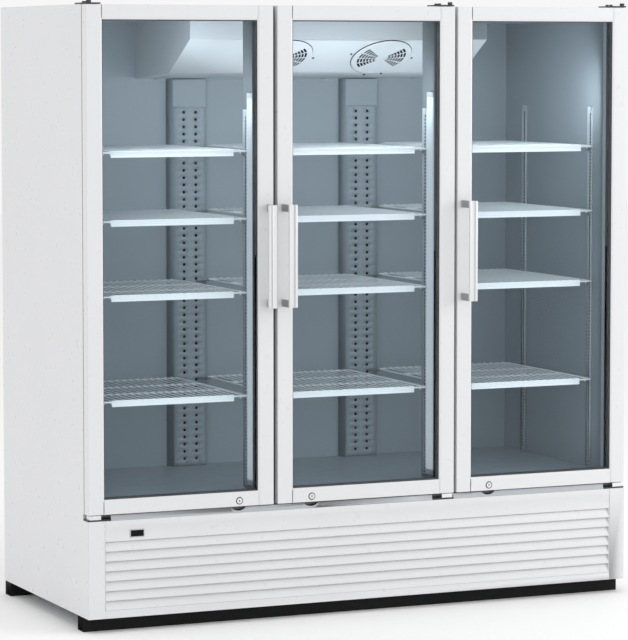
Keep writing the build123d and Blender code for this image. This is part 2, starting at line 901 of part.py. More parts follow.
def condenser_fan_motor():
    """Motor on a pedestal behind the fan."""
    middle_x, middle_z = unit_middle
    motor = fan_motor(condenser_fan_plane(), 44, 70, 24)
    pedestal = block((middle_x - 30, middle_x + 30), (200, 250), (tray_top, middle_z - 44))
    return [motor, pedestal]


def compressor():
    """Welded shell with a domed lid on a foot plate, and its tube stubs."""
    x = unit_middle[0]
    y = compressor_y
    profile = [
        (0, 62),
        (86, 62),
        (92, 76),
        (92, 230),
        (80, 262),
        (46, 282),
        (0, 288),
    ]
    face = Face(Wire.make_polygon([Vector(radius, 0, z) for radius, z in profile], close=True))
    shell = Pos(x, y, 0) * revolve(face, Axis.Z, 360)
    plate = block((x - 120, x + 120), (y - 90, y + 90), (54, 62))
    feet = []
    for foot_x in (x - 104, x + 104):
        for foot_y in (y - 74, y + 74):
            feet.append(rod((foot_x, foot_y, tray_top), (foot_x, foot_y, 54), 30))
    return [shell, plate, *feet]


def condensate_pan():
    """Shallow open tray: a floor and four walls."""
    x = (560.0, 960.0)
    y = (560.0, 780.0)
    z = (tray_top, 110.0)
    wall = 2.0
    return [
        block(x, y, (z[0], z[0] + wall)),
        block((x[0], x[0] + wall), y, (z[0] + wall, z[1])),
        block((x[1] - wall, x[1]), y, (z[0] + wall, z[1])),
        block((x[0] + wall, x[1] - wall), (y[0], y[0] + wall), (z[0] + wall, z[1])),
        block((x[0] + wall, x[1] - wall), (y[1] - wall, y[1]), (z[0] + wall, z[1])),
    ]


def refrigerant_lines():
    """Discharge line to the condenser, liquid line along the floor and the insulated suction line."""
    middle_x = unit_middle[0]
    y = compressor_y
    drop_x = middle_x - 160
    discharge = tube([(middle_x - 95, y, 150), (drop_x, y, 150), (drop_x, y, 260), (drop_x, 114, 260)], 28, 8)
    discharge -= block((drop_x - 10, drop_x + 10), (100, 152), (250, 270))
    liquid = tube([(unit_x[0] - 4, 90, 90), (1150, 90, 90), (1150, 700, 90), (1150, 700, 368)], 40, 6.5)
    suction = tube([(middle_x + 95, y, 200), (1640, y, 200), (1640, 720, 200), (1640, 720, 368)], 45, 16)
    return [discharge, liquid, suction]


def electrical_box():
    """Open-topped steel box and its flat lid."""
    box = block((150, 430), (60, 300), (tray_top, 250))
    box -= block((151.5, 428.5), (61.5, 298.5), (tray_top + 1.5, 251))
    lid = block((146, 434), (56, 304), (250, 251.5))
    return [box, lid]


def rear_cover():
    """Sheet over the back of the machine compartment, with air slots and the cord gland's hole."""
    y = (cover_front, cover_front + skin)
    sheet = block((skin, width - skin), y, (tray_top, deck_top - skin))
    cuts = []
    for column in range(5):
        for row in range(9):
            x = 260 + column * 270
            z = 96 + row * 26
            cuts.append(block((x, x + 210), (y[0] - 1, y[1] + 1), (z, z + 8)))
    cuts.append(rod((gland_x, y[0] - 1, gland_z), (gland_x, y[1] + 1, gland_z), 20))
    return [sheet - cuts]


def cord_gland():
    """Flanged inlet gland in the rear cover, with a through hole for a supply cord."""
    ends = (832.0, 849.0)
    seat = cover_front + skin
    body = rod((gland_x, ends[0], gland_z), (gland_x, seat, gland_z), 20)
    flange = rod((gland_x, seat, gland_z), (gland_x, ends[1], gland_z), 28)
    bore = rod((gland_x, ends[0] - 1, gland_z), (gland_x, ends[1] + 1, gland_z), 10)
    return [body + flange - bore]


def write_cabinet():
    full_x = (skin, width - skin)
    write("side_panel_left", [side_panel((0, skin))])
    write("side_panel_right", [side_panel((width - skin, width))])
    write("top_panel", [block(full_x, (frame_front, depth), (box_top, height))])
    back = block(full_x, (depth - skin, depth), (deck_top - skin, box_top))
    deck = block(full_x, (frame_front, depth - skin), (deck_top - skin, deck_top))
    write("back_and_deck_panels", [back, deck])
    write("inner_liner", inner_liner() + rear_columns())
    write("insulation", insulation())
    write("face_frame", face_frame())
    write("pilasters", pilasters())
    write("shelf_clips", shelf_clips())
    write("led_lamps", led_lamps())
    for number, side in enumerate(("left", "middle", "right")):
        one = shelf(number)
        write(f"shelves_{side}", [Pos(0, 0, top) * one for top in shelf_tops])
    write("hinge_brackets", hinge_brackets())
    write("lock_keepers", lock_keepers())


def write_evaporator():
    write("evaporator_housing", evaporator_housing())
    write("evaporator_coil", evaporator_coil())
    write("fan_guards", fan_guards())
    write("evaporator_fan_motors", evaporator_motors())
    evaporator_fans()


def write_base():
    write("skids", skid(skid_inset) + skid(rear_skid_front))
    tray = block((skin, width - skin), (frame_front, cover_front), (skid_height, tray_top))
    write("base_tray", [tray])
    write("lower_front_frame", lower_front_frame())
    write("grille_panel", grille_panel())
    write("thermometer", thermometer())
    write("condenser_coil", condenser_coil())
    write("fan_shroud", fan_shroud())
    write("condenser_fan", [fan_wheel(condenser_fan_plane(), cond_fan_radius, 30, 30, 62, 28, 32)])
    write("condenser_fan_motor", condenser_fan_motor())
    write("compressor", compressor())
    write("condensate_pan", condensate_pan())
    write("refrigerant_lines", refrigerant_lines())
    write("electrical_box", electrical_box())
    write("rear_cover", rear_cover())
    write("cord_gland", cord_gland())


write_doors()
write_cabinet()
write_evaporator()
write_base()
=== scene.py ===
import json
import math

import bmesh
import bpy
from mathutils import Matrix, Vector

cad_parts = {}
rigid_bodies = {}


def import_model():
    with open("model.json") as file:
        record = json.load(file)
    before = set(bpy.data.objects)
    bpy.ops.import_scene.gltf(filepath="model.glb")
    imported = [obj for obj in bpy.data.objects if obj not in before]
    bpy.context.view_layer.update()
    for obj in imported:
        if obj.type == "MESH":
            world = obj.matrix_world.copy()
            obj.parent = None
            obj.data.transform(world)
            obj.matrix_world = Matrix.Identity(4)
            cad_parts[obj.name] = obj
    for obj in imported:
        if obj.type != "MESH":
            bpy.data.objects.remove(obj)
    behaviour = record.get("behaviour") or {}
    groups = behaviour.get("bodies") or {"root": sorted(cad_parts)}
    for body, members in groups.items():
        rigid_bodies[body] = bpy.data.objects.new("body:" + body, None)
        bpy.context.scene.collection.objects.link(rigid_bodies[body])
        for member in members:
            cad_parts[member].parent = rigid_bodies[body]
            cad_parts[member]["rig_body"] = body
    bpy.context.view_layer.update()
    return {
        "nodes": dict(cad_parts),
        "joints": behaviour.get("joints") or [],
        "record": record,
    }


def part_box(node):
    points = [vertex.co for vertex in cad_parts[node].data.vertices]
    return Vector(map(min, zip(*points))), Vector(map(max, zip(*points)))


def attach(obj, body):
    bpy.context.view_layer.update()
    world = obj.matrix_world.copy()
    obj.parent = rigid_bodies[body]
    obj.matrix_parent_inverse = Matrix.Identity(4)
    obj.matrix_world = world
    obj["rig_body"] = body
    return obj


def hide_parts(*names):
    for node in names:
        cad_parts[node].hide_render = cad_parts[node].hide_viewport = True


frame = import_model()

# Three-door glass reach-in refrigerator. Metres throughout; X to the right, -Y towards the front, Z up.

# Camera
camera_place = (-4.4032, -9.7879, 1.8730)
camera_turn = math.radians(24.14)
camera_down = math.radians(4.290)
camera_lens = 175.373
camera_shift = -0.05

MM = 0.001
screw_radius = 0.0042
doors = (1, 2, 3)
sections = ("left", "middle", "right")
origin = Vector((0.9905, 0.393, 0.0))
slot_of = {part["node"]: part["material_slot"] for part in frame["record"]["subparts"]}


def spot(x, y, z):
    """A point given in mm from the front left floor corner of the cabinet."""
    return Vector((x, y, z)) * MM - origin


# Materials


class Surface:
    """A Principled material whose patterns are laid out in metres on the object."""

    def __init__(self, name, colour, roughness, **sockets):
        self.material = bpy.data.materials.new(name)
        self.material.use_nodes = True
        self.tree = self.material.node_tree
        self.shader = self.tree.nodes["Principled BSDF"]
        self.shader.inputs["Base Color"].default_value = (*colour, 1.0)
        self.shader.inputs["Roughness"].default_value = roughness
        for socket, value in sockets.items():
            self.shader.inputs[socket.replace("_", " ")].default_value = value
        self.material.diffuse_color = (*colour, 1.0)
        self.place = self.tree.nodes.new("ShaderNodeTexCoord").outputs["Object"]
        self.colour = colour
        self.roughness = roughness

    def link(self, output, target):
        self.tree.links.new(output, target)
        return self

    def pattern(self, kind, scale, stretch=(1, 1, 1), detail=3.0, output=None):
        """A texture node's output, with its coordinates stretched along the axes."""
        mapping = self.tree.nodes.new("ShaderNodeMapping")
        mapping.inputs["Scale"].default_value = stretch
        self.link(self.place, mapping.inputs["Vector"])
        texture = self.tree.nodes.new(f"ShaderNodeTex{kind}")
        texture.inputs["Scale"].default_value = scale
        if "Detail" in texture.inputs:
            texture.inputs["Detail"].default_value = detail
        self.link(mapping.outputs["Vector"], texture.inputs["Vector"])
        names = [socket.name for socket in texture.outputs]
        return texture.outputs[output or ("Fac" if "Fac" in names else "Distance")]

    def remap(self, value, low, high, from_low=0.3, from_high=0.7):
        node = self.tree.nodes.new("ShaderNodeMapRange")
        node.inputs["From Min"].default_value = from_low
        node.inputs["From Max"].default_value = from_high
        node.inputs["To Min"].default_value = low
        node.inputs["To Max"].default_value = high
        self.link(value, node.inputs["Value"])
        return node.outputs["Result"]

    def mottle(self, value, spread, tint=(1, 1, 1)):
        """The base colour drifts either side of its mean as the pattern's value changes."""
        mix = self.tree.nodes.new("ShaderNodeMix")
        mix.data_type = "RGBA"
        darker = [c * (1 - spread) for c in self.colour]
        lighter = [min(1.0, c * (1 + spread) * t) for c, t in zip(self.colour, tint)]
        mix.inputs["A"].default_value = (*darker, 1.0)
        mix.inputs["B"].default_value = (*lighter, 1.0)
        self.link(self.remap(value, 0.0, 1.0), mix.inputs["Factor"])
        return self.link(mix.outputs["Result"], self.shader.inputs["Base Color"])

    def gloss(self, value, spread):
        """The roughness drifts either side of its mean."""
        low, high = self.roughness - spread, self.roughness + spread
        return self.link(self.remap(value, low, high), self.shader.inputs["Roughness"])

    def bump(self, value, distance, strength=1.0):
        node = self.tree.nodes.new("ShaderNodeBump")
        node.inputs["Strength"].default_value = strength
        node.inputs["Distance"].default_value = distance
        self.link(value, node.inputs["Height"])
        return self.link(node.outputs["Normal"], self.shader.inputs["Normal"])


def painted(name, colour, roughness, coat=0.0, sheen=0.5):
    """Baked enamel on steel: a faint orange peel and very small drifts of tone and gloss."""
    sockets = {"Coat_Weight": coat, "Coat_Roughness": 0.12, "Specular_IOR_Level": sheen}
    surface = Surface(name, colour, roughness, **sockets)
    surface.mottle(surface.pattern("Noise", 2.2, detail=4.0), 0.012)
    surface.gloss(surface.pattern("Noise", 35.0), 0.03)
    surface.bump(surface.pattern("Noise", 420.0, detail=1.0), 0.00006, 0.5)
    return surface.material


def brushed(name, colour, roughness, stretch):
    """Metal with fine drawn lines across the short axes of the stretch."""
    surface = Surface(name, colour, roughness, Metallic=1.0, Anisotropic=0.4)
    lines = surface.pattern("Noise", 60.0, stretch=stretch, detail=5.0)
    surface.mottle(lines, 0.08)
    surface.gloss(lines, 0.06)
    surface.bump(lines, 0.00003, 0.6)
    return surface.material


def galvanised(name):
    """Zinc-coated sheet with its crystal spangle."""
    surface = Surface(name, (0.47, 0.49, 0.50), 0.42, Metallic=0.85)
    spangle = surface.pattern("Voronoi", 95.0, output="Color")
    grey = surface.tree.nodes.new("ShaderNodeRGBToBW")
    surface.link(spangle, grey.inputs["Color"])
    surface.mottle(grey.outputs["Val"], 0.10)
    surface.gloss(grey.outputs["Val"], 0.07)
    surface.bump(surface.pattern("Noise", 260.0), 0.00004, 0.5)
    return surface.material


def moulded(name, colour, roughness, spread=0.05, sheen=0.5):
    """Moulded plastic or rubber with a fine skin texture."""
    surface = Surface(name, colour, roughness, Specular_IOR_Level=sheen)
    surface.mottle(surface.pattern("Noise", 14.0), spread)
    surface.gloss(surface.pattern("Noise", 120.0), 0.05)
    surface.bump(surface.pattern("Noise", 900.0, detail=2.0), 0.00005, 0.7)
    return surface.material


def lining(name, colour):
    """Pre-painted aluminium liner with the faint stucco of formed sheet."""
    surface = Surface(name, colour, 0.38, Metallic=0.1)
    surface.mottle(surface.pattern("Noise", 1.6, detail=3.0), 0.03)
    surface.gloss(surface.pattern("Noise", 24.0), 0.05)
    surface.bump(surface.pattern("Noise", 330.0, detail=1.0), 0.00008, 0.5)
    return surface.material


def clear_glass():
    """Low-reflection insulating glass: it passes light straight and mirrors only at a grazing angle."""
    material = bpy.data.materials.new("insulating_glass")
    material.use_nodes = True
    tree = material.node_tree
    tree.nodes.clear()
    out = tree.nodes.new("ShaderNodeOutputMaterial")
    mix = tree.nodes.new("ShaderNodeMixShader")
    fresnel = tree.nodes.new("ShaderNodeFresnel")
    fresnel.inputs["IOR"].default_value = 1.18
    clear = tree.nodes.new("ShaderNodeBsdfTransparent")
    clear.inputs["Color"].default_value = (0.955, 0.975, 0.985, 1.0)
    mirror = tree.nodes.new("ShaderNodeBsdfGlossy")
    mirror.inputs["Roughness"].default_value = 0.02
    place = tree.nodes.new("ShaderNodeTexCoord")
    ripple = tree.nodes.new("ShaderNodeTexNoise")
    ripple.inputs["Scale"].default_value = 3.0
    bump = tree.nodes.new("ShaderNodeBump")
    bump.inputs["Strength"].default_value = 0.05
    bump.inputs["Distance"].default_value = 0.001
    tree.links.new(place.outputs["Object"], ripple.inputs["Vector"])
    tree.links.new(ripple.outputs["Fac"], bump.inputs["Height"])
    tree.links.new(bump.outputs["Normal"], mirror.inputs["Normal"])
    tree.links.new(fresnel.outputs["Fac"], mix.inputs["Fac"])
    tree.links.new(clear.outputs["BSDF"], mix.inputs[1])
    tree.links.new(mirror.outputs["BSDF"], mix.inputs[2])
    tree.links.new(mix.outputs["Shader"], out.inputs["Surface"])
    return material


def diffuser():
    """Frosted lamp cover, lit evenly with slightly brighter spots over the diodes."""
    surface = Surface("lamp_diffuser", (0.50, 0.54, 0.57), 0.35, Emission_Color=(0.90, 0.95, 1.0, 1.0))
    diodes = surface.pattern("Wave", 12.0, stretch=(0, 0, 1), output="Fac")
    glow = surface.remap(diodes, lamp_glow * 0.92, lamp_glow * 1.08, 0.0, 1.0)
    surface.link(glow, surface.shader.inputs["Emission Strength"])
    surface.mottle(surface.pattern("Noise", 60.0), 0.02)
    return surface.material


lamp_glow = 0.30
white_paint = painted("white_enamel", (0.70, 0.705, 0.715), 0.30, coat=0.25)
# Light non-metallic paint for the chromed lock bezel and plug: painted reflection in place of the chrome's
# mirror finish.
lock_painted_reflection = painted("lock_painted_reflection", (0.72, 0.73, 0.75), 0.22, coat=0.5)
# The white liner sheet is set dark as painted shade on the walls and posts; the evaporator housing and fan
# guards get a lighter copy of the same sheet as painted light.
liner_painted_shade = lining("liner_sheet_painted_shade", (0.31, 0.35, 0.38))
housing_painted_light = lining("housing_sheet_painted_light", (0.70, 0.72, 0.735))
breaker = moulded("breaker_strip", (0.20, 0.22, 0.235), 0.5, 0.03)
pilaster_paint = painted("pilaster_enamel", (0.46, 0.50, 0.53), 0.32)
shelf_coat = painted("shelf_coating", (0.93, 0.945, 0.955), 0.24, coat=0.4)
glass = clear_glass()
glazing_black = moulded("glazing_black", (0.115, 0.12, 0.125), 0.45)
gasket_rubber = moulded("gasket_rubber", (0.12, 0.13, 0.135), 0.6)
mount_grey = moulded("mount_plastic", (0.27, 0.285, 0.285), 0.42)
lock_chrome = brushed("lock_chrome", (0.50, 0.51, 0.52), 0.18, (1, 1, 1))
bright_steel = brushed("bright_steel", (0.74, 0.75, 0.77), 0.24, (12, 1, 1))
zinc_sheet = galvanised("galvanised_sheet")
hardware = brushed("hardware_steel", (0.40, 0.41, 0.42), 0.3, (1, 12, 12))
hinge_black = painted("hinge_plate_enamel", (0.045, 0.047, 0.05), 0.42, sheen=0.3)
sill_steel = painted("sill_enamel", (0.43, 0.445, 0.475), 0.35)
coil_metal = brushed("coil_aluminium", (0.60, 0.62, 0.63), 0.4, (1, 1, 20))
fan_plastic = moulded("fan_plastic", (0.020, 0.021, 0.022), 0.45, sheen=0.3)
motor_enamel = painted("motor_enamel", (0.018, 0.018, 0.02), 0.38, sheen=0.35)
skid_enamel = painted("skid_enamel", (0.008, 0.009, 0.0085), 0.6, sheen=0.15)
display_face = moulded("display_face", (0.004, 0.004, 0.005), 0.2, 0.2, sheen=0.12)
pan_plastic = moulded("pan_plastic", (0.02, 0.02, 0.02), 0.5, sheen=0.3)
copper = brushed("copper_tube", (0.60, 0.30, 0.18), 0.3, (1, 1, 1))
gland_black = moulded("gland_nylon", (0.012, 0.012, 0.012), 0.4, sheen=0.3)
# Near-black, low-sheen material: real black screws and fan ducts, and painted shade in slots, holes, gaps and
# the key slot.
black_and_painted_shade = moulded("black_plastic_and_painted_shade", (0.006, 0.006, 0.007), 0.8, sheen=0.05)
foam = moulded("foam_yellow", (0.75, 0.66, 0.42), 0.9, 0.1)
lamp_cover = diffuser()
slot_material = {
    "white_paint": white_paint,
    "door_glass": glass,
    "glazing_black": glazing_black,
    "gasket_rubber": gasket_rubber,
    "mount_grey": mount_grey,
    "lock_chrome": lock_chrome,
    "galvanised_steel": zinc_sheet,
    "liner_white": liner_painted_shade,
    "foam": foam,
    "breaker_grey": breaker,
    "pilaster_white": pilaster_paint,
    "hardware_steel": hardware,
    "shelf_white": shelf_coat,
    "coil_aluminium": coil_metal,
    "fan_plastic": fan_plastic,
    "motor_black": motor_enamel,
    "skid_black": skid_enamel,
    "display_black": display_face,
    "pan_plastic": pan_plastic,
    "copper_line": copper,
    "gland_black": gland_black,
}


# Shapes


class Shape:
    """Points and faces gathered for one piece."""

    def __init__(self):
        self.points = []
        self.faces = []

    def add(self, points, faces):
        start = len(self.points)
        self.points += [Vector(point) for point in points]
        self.faces += [tuple(start + index for index in face) for face in faces]
        return self

    def loft(self, rings, closed=False):
        """Skin a row of equal rings, with end caps unless closed joins the last ring to the first."""
        count = len(rings[0])
        points = [point for ring in rings for point in ring]
        faces = []
        for ring in range(len(rings) if closed else len(rings) - 1):
            here = ring * count
            there = (ring + 1) % len(rings) * count
            for step in range(count):
                after = (step + 1) % count
                faces.append((here + step, here + after, there + after, there + step))
        if not closed:
            faces.append(tuple(range(count))[::-1])
            faces.append(tuple(range((len(rings) - 1) * count, len(rings) * count)))
        return self.add(points, faces)

    def box(self, low, high):
        (x0, y0, z0), (x1, y1, z1) = low, high
        ring = [(x0, y0), (x1, y0), (x1, y1), (x0, y1)]
        return self.loft([[(x, y, z) for x, y in ring] for z in (z0, z1)])

    def prism_x(self, outline, low, high):
        """A (y, z) outline drawn out along X."""
        return self.loft([[(x, y, z) for y, z in outline] for x in (low, high)])

    def prism_z(self, outline, low, high):
        """An (x, y) outline drawn out along Z."""
        return self.loft([[(x, y, z) for x, y in outline] for z in (low, high)])

    def tube(self, path, radius, sides=10):
        """A round wire along a row of points, with its corners already rounded."""
        path = [Vector(point) for point in path]
        runs = [(b - a).normalized() for a, b in zip(path, path[1:])]
        side = runs[0].orthogonal().normalized()
        rings = []
        for step, point in enumerate(path):
            before = runs[max(0, step - 1)]
            after = runs[min(step, len(runs) - 1)]
            along = (before + after).normalized()
            side = (side - along * side.dot(along)).normalized()
            other = along.cross(side)
            angles = [2 * math.pi * turn / sides for turn in range(sides)]
            rings.append([point + radius * (math.cos(a) * side + math.sin(a) * other) for a in angles])
        return self.loft(rings)

    def lathe(self, profile, place, axis, sides=24, closed=False):
        """A (radius, height) profile turned about an axis, with end caps unless it closes on itself."""
        axis = Vector(axis).normalized()
        side = axis.orthogonal().normalized()
        other = axis.cross(side)
        place = Vector(place)
        rings = []
        for radius, rise in profile:
            angles = [2 * math.pi * turn / sides for turn in range(sides)]
            ring = [place + axis * rise + radius * (math.cos(a) * side + math.sin(a) * other) for a in angles]
            rings.append(ring)
        return self.loft(rings, closed=closed)

    def frame_sweep(self, outline, x, z):
        """An (inset, y) outline carried round a rectangle in an XZ plane, with mitred corners."""
        corners = ((x[0], z[0], 1, 1), (x[1], z[0], -1, 1), (x[1], z[1], -1, -1), (x[0], z[1], 1, -1))
        rings = [[(cx + sx * u, y, cz + sz * u) for u, y in outline] for cx, cz, sx, sz in corners]
        return self.loft(rings, closed=True)

    def piece(self, name, body, material, slot, replaces=(), bevel=0.0, smooth=30.0, flatten=True):
        """Make the object, clean its faces and hand it to its body."""
        mesh = bpy.data.meshes.new(name)
        mesh.from_pydata(self.points, [], self.faces)
        piece = bpy.data.objects.new(name, mesh)
        bpy.context.scene.collection.objects.link(piece)
        dress(piece, material, bevel, smooth, flatten)
        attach(piece, body)
        if replaces:
            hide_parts(*replaces)
        return piece


def dress(piece, material, bevel, smooth, flatten=True):
    """Merge doubled points, turn all faces outwards, round the sharp edges and set the material."""
    mesh = piece.data
    work = bmesh.new()
    work.from_mesh(mesh)
    bmesh.ops.remove_doubles(work, verts=work.verts, dist=2e-6)
    if flatten:
        bmesh.ops.dissolve_limit(work, angle_limit=math.radians(0.6), verts=work.verts, edges=work.edges)
    bmesh.ops.recalc_face_normals(work, faces=work.faces)
    work.to_mesh(mesh)
    work.free()
    for stale in ("custom_normal", "sharp_face", "sharp_edge"):
        if stale in mesh.attributes:
            mesh.attributes.remove(mesh.attributes[stale])
    mesh.shade_smooth()
    mesh.materials.clear()
    mesh.materials.append(material)
    if bevel:
        rounding = piece.modifiers.new("edges", "BEVEL")
        rounding.width = bevel
        rounding.segments = 2
        rounding.limit_method = "ANGLE"
        rounding.angle_limit = math.radians(smooth)
        weighted = piece.modifiers.new("normals", "WEIGHTED_NORMAL")
        weighted.keep_sharp = True
        weighted.weight = 90
    else:
        mesh.set_sharp_from_angle(angle=math.radians(smooth))


def refine(node, bevel, material=None, smooth=30.0, name="finish", keep=None):
    """A CAD node's own shape, or the solids of it that keep() picks, with its sharp edges rounded."""
    source = frame["nodes"][node]
    piece = bpy.data.objects.new(f"{node}_{name}", source.data.copy())
    bpy.context.scene.collection.objects.link(piece)
    if keep:
        work = bmesh.new()
        work.from_mesh(piece.data)
        bmesh.ops.remove_doubles(work, verts=work.verts, dist=1e-6)
        for group in islands(work):
            if not keep(*group_box(group)):
                bmesh.ops.delete(work, geom=group, context="VERTS")
        work.to_mesh(piece.data)
        work.free()
    dress(piece, material or slot_material[slot_of[node]], bevel, smooth)
    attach(piece, source["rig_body"])
    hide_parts(node)


def islands(work):
    """The vertices of each separate solid in a mesh."""
    seen = set()
    groups = []
    for vert in work.verts:
        if vert in seen:
            continue
        group = [vert]
        seen.add(vert)
        for member in group:
            for edge in member.link_edges:
                other = edge.other_vert(member)
                if other not in seen:
                    seen.add(other)
                    group.append(other)
        groups.append(group)
    return groups


def group_box(group):
    """The lowest and highest corner of some vertices."""
    xs, ys, zs = zip(*(member.co for member in group))
    return Vector((min(xs), min(ys), min(zs))), Vector((max(xs), max(ys), max(zs)))


def loose_boxes(node):
    """The (lowest, highest) corner of each separate solid in a CAD node, sorted by place."""
    work = bmesh.new()
    work.from_mesh(frame["nodes"][node].data)
    bmesh.ops.remove_doubles(work, verts=work.verts, dist=1e-6)
    boxes = [group_box(group) for group in islands(work)]
    work.free()
    return sorted(boxes, key=lambda box: tuple(round(value, 4) for value in (*box[0], *box[1])))


def paint(node):
    """Give a CAD node that stays the material of its slot."""
    for slot in frame["nodes"][node].material_slots:
        slot.material = slot_material[slot_of[node]]


def sheet(piece, thickness):
    """Give an open surface the thickness of sheet metal, half on each side."""
    thick = piece.modifiers.new("sheet", "SOLIDIFY")
    thick.thickness = thickness
    thick.offset = 0.0


def arc(centre, radius, start, end, steps):
    """Points along an arc in a plane, in degrees."""
    angles = [math.radians(start + (end - start) * step / steps) for step in range(steps + 1)]
    return [(centre[0] + radius * math.cos(a), centre[1] + radius * math.sin(a)) for a in angles]


def rounded(path, radius, steps=5):
    """A path with each inner corner replaced by a small arc-like bend."""
    path = [Vector(point) for point in path]
    smooth = [path[0]]
    for before, corner, after in zip(path, path[1:], path[2:]):
        start = corner + (before - corner).normalized() * radius
        end = corner + (after - corner).normalized() * radius
        for step in range(steps + 1):
            t = step / steps
            smooth.append(start * (1 - t) ** 2 + corner * 2 * t * (1 - t) + end * t**2)
    return [*smooth, path[-1]]


def thicken(line, thickness):
    """A closed outline either side of an open line of 2-D points, as bent sheet."""
    points = [Vector(point) for point in line]
    left, right = [], []
    for step, point in enumerate(points):
        before = points[max(0, step - 1)]
        after = points[min(step + 1, len(points) - 1)]
        along = (after - before).normalized()
        side = Vector((-along.y, along.x)) * thickness / 2
        left.append(tuple(point + side))
        right.append(tuple(point - side))
    return left + right[::-1]


def screws(name, places, axis, radius, material=hardware, slot="hardware_steel"):
    """Pan-head screws with a driver dimple, standing on the given places of the cabinet."""
    shape = Shape()
    sunk = 0.0004
    dome = [(1.0, 0.0), (1.0, 0.2), (0.8, 0.4), (0.45, 0.5)]
    dimple = [(0.4, 0.5), (0.15, 0.2)]
    profile = [(radius * 0.98, -sunk), *((radius * across, radius * rise) for across, rise in dome + dimple)]
    for place in places:
        shape.lathe(profile, place, axis, 12)
    shape.piece(name, "cabinet", material, slot, smooth=40.0)


def inward_at(x):
    """The direction along X from a wall face into the section that it belongs to."""
    middles = [sum(end.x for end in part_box(f"shelves_{side}")) / 2 for side in sections]
    return 1 if min(middles, key=lambda middle: abs(middle - x)) > x else -1


def holed_sheet(shape, columns, rows, hole, edge_u, edge_v, point, sides=8, turn=22.5):
    """A sheet with a hole at each (column, row), cut from cells that meet halfway between holes."""
    cuts_u = [edge_u[0], *((a + b) / 2 for a, b in zip(columns, columns[1:])), edge_u[1]]
    cuts_v = [edge_v[0], *((a + b) / 2 for a, b in zip(rows, rows[1:])), edge_v[1]]
    for u, u0, u1 in zip(columns, cuts_u, cuts_u[1:]):
        for v, v0, v1 in zip(rows, cuts_v, cuts_v[1:]):

            def rim(across, up):
                wide = u1 - u if across > 0 else u - u0
                tall = v1 - v if up > 0 else v - v0
                return u + wide * across, v + tall * up

            turns = [math.radians(turn + 360 * step / sides) for step in range(sides)]
            ways = [(math.cos(angle), math.sin(angle)) for angle in turns]
            inner = [(u + hole[0] * across, v + hole[1] * up) for across, up in ways]
            sizes = [max(abs(across), abs(up)) for across, up in ways]
            square = [(across / size, up / size) for (across, up), size in zip(ways, sizes)]
            outer = [rim(*way) for way in square]
            corners = []
            faces = []
            for step in range(sides):
                after = (step + 1) % sides
                face = [step, sides + step, sides + after, after]
                (a0, a1), (b0, b1) = square[step], square[after]
                if abs(a0 - b0) > 1e-6 and abs(a1 - b1) > 1e-6:
                    face.insert(2, 2 * sides + len(corners))
                    corners.append(rim(math.copysign(1, a0 + b0), math.copysign(1, a1 + b1)))
                faces.append(tuple(face))
            shape.add([point(*place) for place in (*inner, *outer, *corners)], faces)


# Doors


def gasket(number):
    """Magnetic gasket: a flat base, a bellows and the magnet pocket, mitred at the corners."""
    node = f"door_{number}_gasket"
    low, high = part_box(node)
    base = low.y
    face = high.y
    width = 20 * MM
    outline = [
        (0.002, base),
        (width - 0.002, base),
        (width - 0.002, base + 0.0012),
        (width - 0.007, base + 0.0018),
        (width - 0.004, base + 0.0032),
        (width - 0.0062, base + 0.0044),
        (width - 0.0015, base + 0.0052),
        (width - 0.001, face - 0.0006),
        (width - 0.0022, face),
        (0.0042, face),
        (0.003, face - 0.0006),
        (0.0035, base + 0.0052),
        (0.0082, base + 0.0044),
        (0.006, base + 0.0032),
        (0.009, base + 0.0018),
        (0.002, base + 0.0012),
    ]
    shape = Shape().frame_sweep(outline, (low.x, high.x), (low.z, high.z))
    shape.piece(f"door_{number}_gasket_bellows", f"door_{number}", gasket_rubber, "gasket_rubber", [node])


def handle(number):
    """Extruded pull bar: a dished wide face, a deep valley and a narrow rib, with crowned end caps."""
    node = f"door_{number}_handle"
    low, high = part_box(node)
    free_right = number == 1
    edge, inward = (high.x, -1) if free_right else (low.x, 1)
    face = [
        (0.0, 2.4), (0.5, 0.9), (1.8, 0.0), (4.0, 0.25), (8.0, 0.9), (12.0, 0.95), (15.0, 0.5), (16.8, 0.0),
        (17.6, 0.7), (18.1, 4.6), (19.3, 5.4), (20.4, 4.6), (20.8, 0.7), (21.6, 0.0), (24.0, 0.0),
        (28.6, 0.2), (30.0, 0.9), (30.5, 2.4), (30.5, 8.4), (29.6, 9.6), (28.0, 10.0), (2.5, 10.0),
        (0.8, 9.6), (0.0, 8.4),
    ]
    outline = [(edge + inward * across * MM, low.y + back * MM) for across, back in face]
    middle_x = (low.x + high.x) / 2
    middle_y = (low.y + high.y) / 2
    small = [(middle_x + (x - middle_x) * 0.96, middle_y + (y - middle_y) * 0.90) for x, y in outline]
    rings = [(small, low.z), (outline, low.z + 0.0009), (outline, high.z - 0.0009), (small, high.z)]
    shape = Shape().loft([[(x, y, z) for x, y in ring] for ring, z in rings])
    name = f"door_{number}_handle_bar"
    shape.piece(name, f"door_{number}", white_paint, "white_paint", [node], smooth=32.0)


